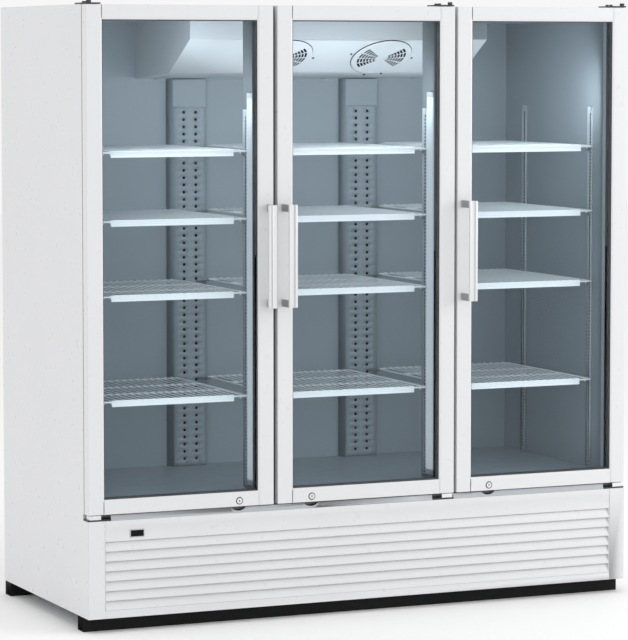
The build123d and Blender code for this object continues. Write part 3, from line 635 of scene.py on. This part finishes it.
def lock(number):
    """Bezel and plug in a light paint that stands in for the chrome's reflection, a near-black ring round the
    bezel as painted shadow in its edge gap, and a near-black box as painted shade in the key slot.
    """
    housing = f"door_{number}_lock_housing"
    # Bezel and plug in light paint, as painted reflection of chrome.
    refine(housing, 0.0006, lock_painted_reflection)
    refine(f"door_{number}_lock_plug", 0.0003, lock_painted_reflection)
    low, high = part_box(housing)
    centre = Vector(((low.x + high.x) / 2, low.y, (low.z + high.z) / 2))
    # A near-black ring round the bezel: painted shadow in the gap at its edge.
    shadow_ring = Shape()
    shadow_ring_profile = [(0.0096, 0.0000), (0.0112, 0.0003), (0.0124, 0.0015), (0.0096, 0.0015)]
    shadow_ring.lathe(shadow_ring_profile, centre, (0, 1, 0), 40, True)
    shadow_ring.piece(f"door_{number}_lock_painted_shadow_ring", f"door_{number}", black_and_painted_shade, "gland_black")
    # A near-black box in the key slot: painted shade.
    key = Shape().box(
        (centre.x - 0.0016, centre.y + 0.0003, centre.z - 0.0028),
        (centre.x + 0.0016, centre.y + 0.0020, centre.z + 0.0028),
    )
    key.piece(f"lock_{number}_keyway_painted_shade", f"lock_{number}", black_and_painted_shade, "gland_black")


def edge_trims(number):
    """Dark plastic channels on the door edges that face another door; their dark colour also stands in for
    the shade deep in the gap between doors, as painted shade.
    """
    outer_edge = 0.9
    low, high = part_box(f"door_{number}_frame")
    shape = Shape()
    for x, out in ((low.x, -1), (high.x, 1)):
        if abs(x) > outer_edge:
            continue
        x0, x1 = sorted((x - out * 0.0004, x + out * 0.0007))
        shape.box((x0, high.y - 0.0150, low.z + 0.004), (x1, high.y + 0.0002, high.z - 0.004))
    shape.piece(f"door_{number}_edge_trim", f"door_{number}", gasket_rubber, "gasket_rubber", bevel=0.0002)


def build_door(number):
    refine(f"door_{number}_frame", 0.0012)
    handle(number)
    refine(f"door_{number}_handle_mounts", 0.0012)
    lock(number)
    edge_trims(number)
    paint(f"door_{number}_glass")
    refine(f"door_{number}_glazing", 0.0)
    gasket(number)


# Cabinet


slot_pitch = 12.05 * MM


def pilaster(index, low, high):
    """A folded steel strip with a column of slots near its front edge, and a near-black box behind them as
    painted shade.
    """
    inward = inward_at((low.x + high.x) / 2)
    wall, face = (low.x, high.x) if inward > 0 else (high.x, low.x)
    count = int((high.z - low.z - 0.020) / slot_pitch)
    rows = [low.z + 0.012 + step * slot_pitch for step in range(count)]
    shape = Shape()
    column = low.y + 0.009
    hole = (0.0064, 0.0060)
    edge_u = (low.y + 0.0005, low.y + 0.018)
    holed_sheet(shape, [column], rows, hole, edge_u, (low.z, high.z), lambda u, v: (face, u, v), 4, 45.0)
    flat = [(face, edge_u[1]), (face, high.y - 0.0005)]
    fold = [(wall, low.y), (face - inward * 0.0008, low.y), (face, edge_u[0])]
    tail = [(face, high.y - 0.0005), (face - inward * 0.0008, high.y), (wall, high.y)]
    for line in (flat, fold, tail):
        for (x0, y0), (x1, y1) in zip(line, line[1:]):
            corners = [(x0, y0, low.z), (x1, y1, low.z), (x1, y1, high.z), (x0, y0, high.z)]
            shape.add(corners, [(0, 1, 2, 3)])
    name = f"pilaster_{index}"
    piece = shape.piece(name, "cabinet", pilaster_paint, "pilaster_white", ["pilasters"], flatten=False)
    sheet(piece, 0.0009)
    # Near-black box behind the slots: painted shade.
    painted_shade = Shape().box(
        (min(wall, face) + 0.0012, low.y + 0.0018, low.z + 0.002),
        (max(wall, face) - 0.0016, high.y - 0.0018, high.z - 0.002),
    )
    painted_shade.piece(f"pilaster_painted_shade_{index}", "cabinet", black_and_painted_shade, "gland_black")


def build_pilasters():
    for index, (low, high) in enumerate(loose_boxes("pilasters"), 1):
        pilaster(index, low, high)


def rear_column(index, middle):
    """A facing with two columns of round holes, and a plain head, on the post at the back wall; behind the
    holes, a near-black box as painted shade.
    """
    bottom, plain, top = 424.6, 1690.0, 1784.0
    front, wall = 760.0, 789.6
    face_half, foot_half = 61.5, 75.5
    hole_half, hole_pitch, hole_radius = 22.5, 25.4, 0.0056
    rows = [(bottom + 26 + step * hole_pitch) * MM for step in range(49)]
    holes = [(middle + side * hole_half) * MM - origin.x for side in (-1, 1)]
    edge_u = [(middle + side * face_half) * MM - origin.x for side in (-1, 1)]
    face = front * MM - origin.y - 0.0032
    shape = Shape()

    def point(u, v):
        return u, face, v

    holed_sheet(shape, holes, rows, (hole_radius, hole_radius), edge_u, (bottom * MM, plain * MM), point)
    for side in (-1, 1):
        near, far = spot(middle + side * face_half, front - 3.2, 0), spot(middle + side * foot_half, wall, 0)
        corners = [(near.x, near.y, bottom * MM), (far.x, far.y, bottom * MM)]
        corners += [(far.x, far.y, top * MM), (near.x, near.y, top * MM)]
        shape.add(corners, [(0, 1, 2, 3)])
    # The post facing takes the darkened liner sheet, as painted shade.
    piece = shape.piece(f"rear_post_{index}", "cabinet", liner_painted_shade, "liner_white", flatten=False)
    sheet(piece, 0.0010)
    head_low = spot(middle - face_half, front - 3.7, plain)
    head = Shape().box(head_low, spot(middle + face_half, front - 2.7, top))
    head.piece(f"rear_post_head_{index}", "cabinet", liner_painted_shade, "liner_white")
    # Near-black box behind the holes: painted shade.
    painted_shade_low = spot(middle - 60, front - 1.6, bottom + 1)
    painted_shade = Shape().box(painted_shade_low, spot(middle + 60, front - 0.4, plain - 1))
    painted_shade.piece(f"rear_post_painted_shade_{index}", "cabinet", black_and_painted_shade, "gland_black")


def build_shelf(side, index, low, high):
    """One coated wire shelf: perimeter wire, deck wires, cross wires and the front price strip."""
    frame_radius = 0.003
    deck_radius = 0.002
    deck_z = high.z - deck_radius
    frame_z = deck_z - deck_radius - frame_radius + 0.0008
    front = low.y + 0.004
    back = high.y - frame_radius
    left = low.x + frame_radius
    right = high.x - frame_radius
    shape = Shape()
    middle_x = (left + right) / 2
    loop = [(middle_x, front), (right, front), (right, back), (left, back), (left, front), (middle_x, front)]
    shape.tube(rounded([(x, y, frame_z) for x, y in loop], 0.014), frame_radius)
    for share in (0.34, 0.67):
        y = front + (back - front) * share
        shape.tube([(left, y, frame_z), (right, y, frame_z)], frame_radius)
    count = round((right - left) / 0.025)
    for step in range(1, count):
        x = left + (right - left) * step / count
        top = (x, front + 0.004, deck_z)
        nose = (x, front + 0.0005, deck_z - 0.012)
        shape.tube(rounded([nose, top, (x, back + 0.001, deck_z)], 0.0035, 3), deck_radius, 8)
    shape.piece(f"shelf_{side}_{index}", "cabinet", shelf_coat, "shelf_white", [f"shelves_{side}"])
    strip = Shape()
    face = low.y
    bottom = high.z - 0.022
    line = [
        (face + 0.0040, high.z - 0.0015),
        (face + 0.0006, high.z - 0.0009),
        (face + 0.0006, high.z - 0.0030),
        (face + 0.0022, high.z - 0.0045),
        (face + 0.0022, bottom + 0.0045),
        (face + 0.0006, bottom + 0.0030),
        (face + 0.0006, bottom + 0.0008),
        (face + 0.0040, bottom + 0.0008),
    ]
    strip.prism_x(thicken(line, 0.001), low.x + 0.054, high.x - 0.054)
    strip.piece(f"shelf_strip_{side}_{index}", "cabinet", shelf_coat, "shelf_white")


def build_shelves():
    for side in sections:
        boxes = sorted(loose_boxes(f"shelves_{side}"), key=lambda box: box[0].z)
        for index, (low, high) in enumerate(boxes, 1):
            build_shelf(side, index, low, high)


def build_lamps():
    """Each lamp: a channel from the CAD under a wide frosted cover, with an end cap at each end."""
    refine("led_lamps", 0.0006, pilaster_paint)
    cap = 0.018
    bulge = 0.0016
    sunk = 0.0045
    for index, (low, high) in enumerate(loose_boxes("led_lamps"), 1):
        inward = inward_at((low.x + high.x) / 2)
        face = high.x if inward > 0 else low.x
        middle_y = (low.y + high.y) / 2
        half = (high.y - low.y) / 2 - 0.0005
        outline = [(face + inward * bulge * v, middle_y + half * u) for u, v in arc((0, 0), 1.0, 180, 0, 14)]
        outline += [(face - inward * sunk, middle_y + half), (face - inward * sunk, middle_y - half)]
        cover = Shape().prism_z(outline, low.z + cap, high.z - cap)
        cover.piece(f"lamp_cover_{index}", "cabinet", lamp_cover, "pilaster_white", smooth=50.0)
        caps = Shape()
        for z in (low.z, high.z - cap):
            caps.prism_z([(x + inward * 0.0006, y) for x, y in outline], z, z + cap)
        name = f"lamp_caps_{index}"
        caps.piece(name, "cabinet", pilaster_paint, "pilaster_white", bevel=0.0005, smooth=50.0)


def build_sill():
    """The sill from the CAD, with its keepers, in pale enamel."""
    refine("lock_keepers", 0.0003, sill_steel, name="sill")


def build_side_lips():
    """Turned edges of the side panels that close the gap beside the outer doors."""
    shape = Shape()
    front, back = 41.2, 48.4
    bottom, top = 388, 2032
    for x0, x1 in ((0.05, 0.95), (1980.05, 1980.95)):
        shape.box(spot(x0, front, bottom), spot(x1, back, top))
    shape.piece("side_lips", "cabinet", white_paint, "white_paint", bevel=0.0002)


def build_cabinet():
    for node in ("side_panel_left", "side_panel_right", "top_panel", "back_and_deck_panels"):
        refine(node, 0.0004)
    for node in ("inner_liner", "shelf_clips"):
        paint(node)
    post = 0.1
    refine("face_frame", 0.0, white_paint, name="outer", keep=lambda low, high: high.y - low.y < post)
    refine("face_frame", 0.0, breaker, name="posts", keep=lambda low, high: high.y - low.y > post)
    top_hinges, bottom_plates = 2.0, 0.3725

    def dark(low, high):
        return high.z > top_hinges or high.z < bottom_plates

    refine("hinge_brackets", 0.0006, hinge_black, name="plates", keep=dark)
    refine("hinge_brackets", 0.0008, bright_steel, name="blocks", keep=lambda low, high: not dark(low, high))
    paint("insulation")
    build_pilasters()
    for index, mullion_middle in enumerate((659.5, 1323.5), 1):
        rear_column(index, mullion_middle)
    build_shelves()
    build_lamps()
    build_sill()
    build_side_lips()
    rows = [spot(x, 851.2, z) for z in (392, 1200, 2010) for x in range(40, 1960, 237)]
    screws("back_screws", rows, (0, 1, 0), screw_radius)


# Evaporator


def spin(name):
    """The centre and direction of a fan's axle, from its joint."""
    joint = next(joint for joint in frame["joints"] if joint["name"] == name)
    return Vector(joint["pos_m"]), Vector(joint["axis"]).normalized()


def fan(node, joint, radius, hub, depth, blades, chord, shaft):
    """A moulded fan: a domed hub on its shaft and swept blades with camber and twist."""
    centre, axis = spin(joint)
    side = axis.orthogonal().normalized()
    other = axis.cross(side)
    half = depth / 2
    shape = Shape()
    dome = [(0.0008, half), (hub * 0.55, half - 0.0004), (hub * 0.86, half - 0.0022), (hub, half - 0.006)]
    shape.lathe([*dome, (hub, -half), (0.0008, -half)], centre, axis, 40)
    shape.lathe([(0.0039, -half - shaft), (0.0039, -half + 0.002)], centre, axis, 16)
    stations = 9
    for blade in range(blades):
        rings = []
        for station in range(stations):
            share = station / (stations - 1)
            reach = hub - 0.003 + (radius - hub + 0.003) * share
            pitch = math.radians(38 - 18 * share)
            width = chord * (0.78 + 0.34 * math.sin(share * 2.3))
            middle = 2 * math.pi * blade / blades + 0.42 * share**1.5
            ring = []
            for across in (-0.5, -0.3, -0.1, 0.1, 0.3, 0.5, 0.5, 0.3, 0.1, -0.1, -0.3, -0.5):
                upper = len(ring) < 6
                thick = 0.0011 * (1 - 2.6 * across**2) * (1 if upper else -1)
                rise = across * width * math.sin(pitch) + 0.07 * width * (1 - 4 * across**2) + thick
                angle = middle + across * width * math.cos(pitch) / reach
                ring.append(centre + reach * (math.cos(angle) * side + math.sin(angle) * other) + rise * axis)
            rings.append(ring)
        shape.loft(rings)
    shape.piece(f"{node}_wheel", node, fan_plastic, "fan_plastic", [node], smooth=40.0)


def fan_guard(index, centre, axis):
    """A pressed round guard standing off the housing, slotted on its left and right sides only."""
    across = Vector((1, 0, 0))
    up = axis.cross(across).normalized()
    lift = 0.0046
    bands = [25, 32.5, 36, 43.5, 47, 54.5, 58, 65.5, 69, 76.5, 80, 87.5]
    rings = [0.8, *bands, 92, 98, 104, 108]
    turns = 96
    slotted = range(1, len(bands), 2)

    def place(reach, turn):
        angle = 2 * math.pi * turn / turns
        rise = lift + 0.0028 * (1 - min(1.0, (reach / 98) ** 2)) - (0.0018 if reach > 105 else 0.0)
        flat = reach * MM * (math.cos(angle) * across + math.sin(angle) * up)
        return centre + flat + rise * axis

    shape = Shape()
    points = [place(reach, turn) for reach in rings for turn in range(turns)]
    faces = []
    for ring in range(len(rings) - 1):
        for turn in range(turns):
            degrees = (360 * (turn + 0.5) / turns) % 180
            sideways = min(degrees, 180 - degrees) < 46
            open_cell = turn % 6 != 0 and ring in slotted
            if sideways and open_cell:
                continue
            after = (turn + 1) % turns
            here, there = ring * turns, (ring + 1) * turns
            faces.append((here + turn, here + after, there + after, there + turn))
    faces.append(tuple(range(turns)))
    shape.add(points, faces)
    name = f"fan_guard_{index}"
    # The guard takes the lighter copy of the liner sheet, as painted light.
    piece = shape.piece(name, "cabinet", housing_painted_light, "liner_white", ["fan_guards"], flatten=False)
    sheet(piece, 0.0010)
    # A near-black ring under the guard's rim: painted shadow in the gap between guard and housing.
    shadow_ring_profile = [(0.0960, 0.0003), (0.1098, 0.0003), (0.1098, 0.0009), (0.0960, 0.0009)]
    ring = Shape().lathe(shadow_ring_profile, centre, axis, 64, True)
    ring.piece(f"fan_painted_shadow_ring_{index}", "cabinet", black_and_painted_shade, "gland_black", smooth=40.0)
    shroud = Shape()
    wall_profile = [(0.0955, -0.0015), (0.0955, -0.052), (0.0975, -0.052), (0.0975, -0.0015)]
    plate_profile = [(0.031, -0.0500), (0.0956, -0.0500), (0.0956, -0.0515), (0.031, -0.0515)]
    shroud.lathe(wall_profile, centre, axis, 48, True)
    shroud.lathe(plate_profile, centre, axis, 48, True)
    shroud.piece(f"fan_duct_{index}", "cabinet", black_and_painted_shade, "fan_plastic", smooth=40.0)
    screw_circle = 0.1215
    heads = []
    for degrees in (-4, 172, 262, 292):
        angle = math.radians(degrees)
        flat = screw_circle * (math.cos(angle) * across + math.sin(angle) * up)
        heads.append(centre + flat + 0.0002 * axis)
    screws(f"fan_guard_screws_{index}", heads, axis, screw_radius, black_and_painted_shade, "gland_black")


def build_evaporator():
    # The housing takes the lighter copy of the liner sheet, as painted light.
    refine("evaporator_housing", 0.0010, housing_painted_light)
    for index, side in enumerate(("left", "right"), 1):
        node = f"evaporator_fan_{side}"
        fan(node, f"{node}_spin", 0.092, 0.026, 0.026, 5, 0.050, 0.027)
        centre, axis = spin(f"{node}_spin")
        outward = axis if axis.y < 0 else -axis
        fan_guard(index, centre + 0.032 * outward, outward)
    refine("evaporator_fan_motors", 0.0015, smooth=35.0)
    paint("evaporator_coil")
    housing_low, housing_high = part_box("evaporator_housing")
    rear = [(x, housing_high.y - 0.030) for x in (housing_low.x + 0.06, -0.1, 0.18, housing_high.x - 0.06)]
    places = [(x, y, housing_low.z) for x, y in rear]
    screws("housing_screws", places, (0, 0, -1), 0.004, black_and_painted_shade, "gland_black")


# Base


def build_grille():
    """Band and seven louvre boards, each with a rolled lip, between two end plates."""
    low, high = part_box("grille_panel")
    solids = loose_boxes("grille_panel")
    boards = sorted((box for box in solids if box[1].x - box[0].x > 1.0), key=lambda box: box[0].z)
    shape = Shape()
    front = low.y
    for board_low, board_high in boards[:-1]:
        bottom = board_low.z
        top = board_high.z
        recess = board_high.y - front - 0.002
        lip = 0.0022
        angles = [math.radians(turn) for turn in range(-50, 81, 13)]
        roll = [(front + lip - lip * math.sin(a), bottom + lip - lip * math.cos(a)) for a in angles]
        line = [(front + 0.0075, bottom + 0.0030), *roll, (front + recess * 0.55, (bottom + top) / 2 + 0.001)]
        line += [(front + recess, top - 0.002)]
        shape.prism_x(thicken(line, 0.0010), board_low.x, board_high.x)
    shape.piece("grille_boards", "cabinet", white_paint, "white_paint", ["grille_panel"], smooth=38.0)
    band = Shape()
    band_low = boards[-1][0].z
    fold = band_low + 0.044
    line = [
        (front + 0.010, band_low + 0.0005),
        (front + 0.0025, band_low + 0.0005),
        (front + 0.0016, band_low + 0.0014),
        (front + 0.0016, fold - 0.0008),
        (front + 0.0006, fold + 0.0008),
        (front + 0.0006, high.z - 0.0010),
        (front + 0.0014, high.z - 0.0004),
        (front + 0.0030, high.z - 0.0004),
    ]
    band.prism_x(thicken(line, 0.0010), low.x, high.x)
    band.piece("grille_band", "cabinet", white_paint, "white_paint", ["grille_panel"], smooth=38.0)
    ends = Shape()
    for x0, x1 in ((low.x, low.x + 0.002), (high.x - 0.002, high.x)):
        ends.box((x0, front + 0.0005, low.z), (x1, high.y, band_low))
    ends.piece("grille_ends", "cabinet", white_paint, "white_paint", ["grille_panel"], bevel=0.0004)


def build_thermometer():
    """Chromed bezel round a sunk black display."""
    low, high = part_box("thermometer")
    rim = 0.0026
    section = [(0.0, 0.002), (0.0, 0.0006), (0.0008, 0.0), (rim, 0.0004), (rim, 0.002)]
    outline = [(inset, low.y + back) for inset, back in section]
    bezel = Shape().frame_sweep(outline, (low.x, high.x), (low.z, high.z))
    bezel.piece("thermometer_bezel", "cabinet", lock_chrome, "lock_chrome", smooth=25.0)
    face = Shape()
    face.box((low.x + rim, low.y + 0.0012, low.z + rim), (high.x - rim, low.y + 0.0024, high.z - rim))
    inset = 0.0035
    face.box((low.x + inset, low.y + 0.002, low.z + inset), (high.x - inset, high.y, high.z - inset))
    face.piece("thermometer_display", "cabinet", display_face, "display_black", ["thermometer"], bevel=0.0003)


def build_compressor():
    """Welded hermetic shell with its seam, feet and terminal cover."""
    x, y = 1470.0, 430.0
    shell = [
        (1, 62), (70, 62), (84, 66), (91, 78), (91.5, 90), (91.5, 166), (94, 168), (95.5, 171), (95.5, 177),
        (94, 180), (91.5, 182), (91, 222), (87, 244), (77, 262), (62, 275), (42, 283), (20, 287), (1, 288),
    ]
    shape = Shape()
    shape.lathe([(radius * MM, z * MM) for radius, z in shell], spot(x, y, 0), (0, 0, 1), 56)
    shape.box(spot(x - 120, y - 90, 54), spot(x + 120, y + 90, 62))
    cover = [(x + u, y + v) for u, v in ((60, -52), (108, -40), (112, -34), (112, 34), (108, 40), (60, 52))]
    shape.prism_z([tuple(spot(u, v, 0).xy) for u, v in cover], 0.110, 0.205)
    name = "compressor_shell"
    shape.piece(name, "cabinet", motor_enamel, "motor_black", ["compressor"], bevel=0.0016, smooth=40.0)
    feet = Shape()
    sleeve = [(15, 50), (15, 53), (12, 54), (12, 62), (15, 63), (15, 66), (8, 68), (0.8, 68)]
    profile = [(radius * MM, z * MM) for radius, z in sleeve]
    for foot_x in (x - 104, x + 104):
        for foot_y in (y - 74, y + 74):
            feet.lathe(profile, spot(foot_x, foot_y, 0), (0, 0, 1))
    feet.piece("compressor_feet", "cabinet", gasket_rubber, "motor_black", ["compressor"], smooth=40.0)


def build_condenser():
    """Close fins between two end plates, with return bends standing out of the right-hand plate."""
    shape = Shape()
    left, right = 1244.0, 1696.0
    count = 130
    half_fin = 0.15
    for step in range(count):
        x = left + 1.5 + (right - left - 3.0) * step / (count - 1)
        shape.box(spot(x - half_fin, 62.5, 74), spot(x + half_fin, 109, 336))
    for x in (1240.0, 1698.5):
        shape.box(spot(x, 60, 70), spot(x + 1.5, 109.9, 340))
    shape.piece("condenser_fins", "cabinet", coil_metal, "coil_aluminium", ["condenser_coil"])
    bends = Shape()
    bend, straight = 10.5, 9
    angles = (0.4, 0.8, 1.2, 1.57, 1.94, 2.34, 2.74)
    turn = [(straight + bend * math.sin(a), bend * (1 - math.cos(a))) for a in angles]
    route = [(0, 0), (straight, 0), *turn, (straight, 2 * bend), (0, 2 * bend)]
    for row in range(6):
        for y in (74, 98):
            for x, out in ((1241, -1), (1699, 1)):
                bends.tube([spot(x + out * reach, y, 92 + row * 42 + rise) for reach, rise in route], 0.0040)
    bends.piece("condenser_bends", "cabinet", copper, "copper_line", smooth=50.0)


def build_base():
    refine("skids", 0.0012)
    refine("lower_front_frame", 0.0006)
    build_grille()
    build_thermometer()
    build_compressor()
    build_condenser()
    fan("condenser_fan", "condenser_fan_spin", 0.112, 0.030, 0.030, 5, 0.066, 0.032)
    refine("condenser_fan_motor", 0.0015, smooth=35.0)
    for node in ("base_tray", "rear_cover", "electrical_box", "fan_shroud", "condensate_pan", "cord_gland"):
        refine(node, 0.0004)
    refine("refrigerant_lines", 0.0, smooth=35.0)
    edge = [(x, z) for x in range(60, 1960, 232) for z in (72, 352)]
    screws("cover_screws", [spot(x, 844.0, z) for x, z in edge], (0, 1, 0), screw_radius)


# Studio


def build_studio():
    camera = bpy.data.objects.new("camera", bpy.data.cameras.new("camera"))
    camera.location = camera_place
    camera.rotation_euler = (math.pi / 2 - camera_down, 0.0, -camera_turn)
    camera.data.lens = camera_lens
    camera.data.sensor_width = 36.0
    camera.data.shift_y = camera_shift
    camera.data.clip_end = 100.0
    bpy.context.scene.collection.objects.link(camera)
    bpy.context.scene.camera = camera

    floor_mesh = bpy.data.meshes.new("floor")
    reach = 25.0
    corners = [(-reach, -reach, 0), (reach, -reach, 0), (reach, reach, 0), (-reach, reach, 0)]
    floor_mesh.from_pydata(corners, [], [(0, 1, 2, 3)])
    floor = bpy.data.objects.new("floor", floor_mesh)
    bpy.context.scene.collection.objects.link(floor)
    floor_paint = Surface("floor_paint", (0.95, 0.95, 0.95), 0.85)
    floor_paint.mottle(floor_paint.pattern("Noise", 0.6), 0.004)
    floor.data.materials.append(floor_paint.material)

    world = bpy.data.worlds.new("studio")
    world.use_nodes = True
    world.node_tree.nodes["Background"].inputs["Color"].default_value = (1.0, 1.0, 1.0, 1.0)
    world.node_tree.nodes["Background"].inputs["Strength"].default_value = 0.93
    bpy.context.scene.world = world
    bpy.context.scene.view_settings.view_transform = "Standard"

    def softbox(name, place, target, size, power, hidden=False):
        light = bpy.data.lights.new(name, "AREA")
        light.shape = "RECTANGLE"
        light.size, light.size_y = size
        light.energy = power
        lamp = bpy.data.objects.new(name, light)
        lamp.location = place
        aim = Vector(target) - Vector(place)
        lamp.rotation_euler = aim.to_track_quat("-Z", "Y").to_euler()
        lamp.visible_camera = False
        lamp.visible_glossy = not hidden
        if hidden:
            light.color = (0.94, 0.97, 1.0)
        bpy.context.scene.collection.objects.link(lamp)

    softbox("key_light", (5.2, -4.2, 2.8), (0.2, -0.3, 1.1), (2.4, 2.8), 104.0)
    softbox("rim_light", (7.0, -1.6, 1.3), (0.0, -0.4, 1.2), (0.8, 3.2), 30.0)
    softbox("fill_light", (-6.5, -1.8, 3.0), (-0.9, 0.0, 1.1), (3.0, 3.0), 18.0)
    softbox("top_light", (0.0, -1.5, 5.5), (0.0, -0.8, 0.0), (6.0, 5.0), 42.0)
    for side in sections:
        low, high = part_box(f"shelves_{side}")
        middle = (low.x + high.x) / 2
        wide = high.x - low.x - 0.05
        front = low.y - 0.030
        softbox(f"lamp_spill_{side}", (middle, front, 1.12), (middle, 1.0, 1.12), (wide, 1.30), 1.5, True)
        softbox(f"lamp_top_{side}", (middle, front, 1.74), (middle, 0.35, 1.73), (wide, 0.20), 1.9, True)


for number in doors:
    build_door(number)
build_cabinet()
build_evaporator()
build_base()
build_studio()
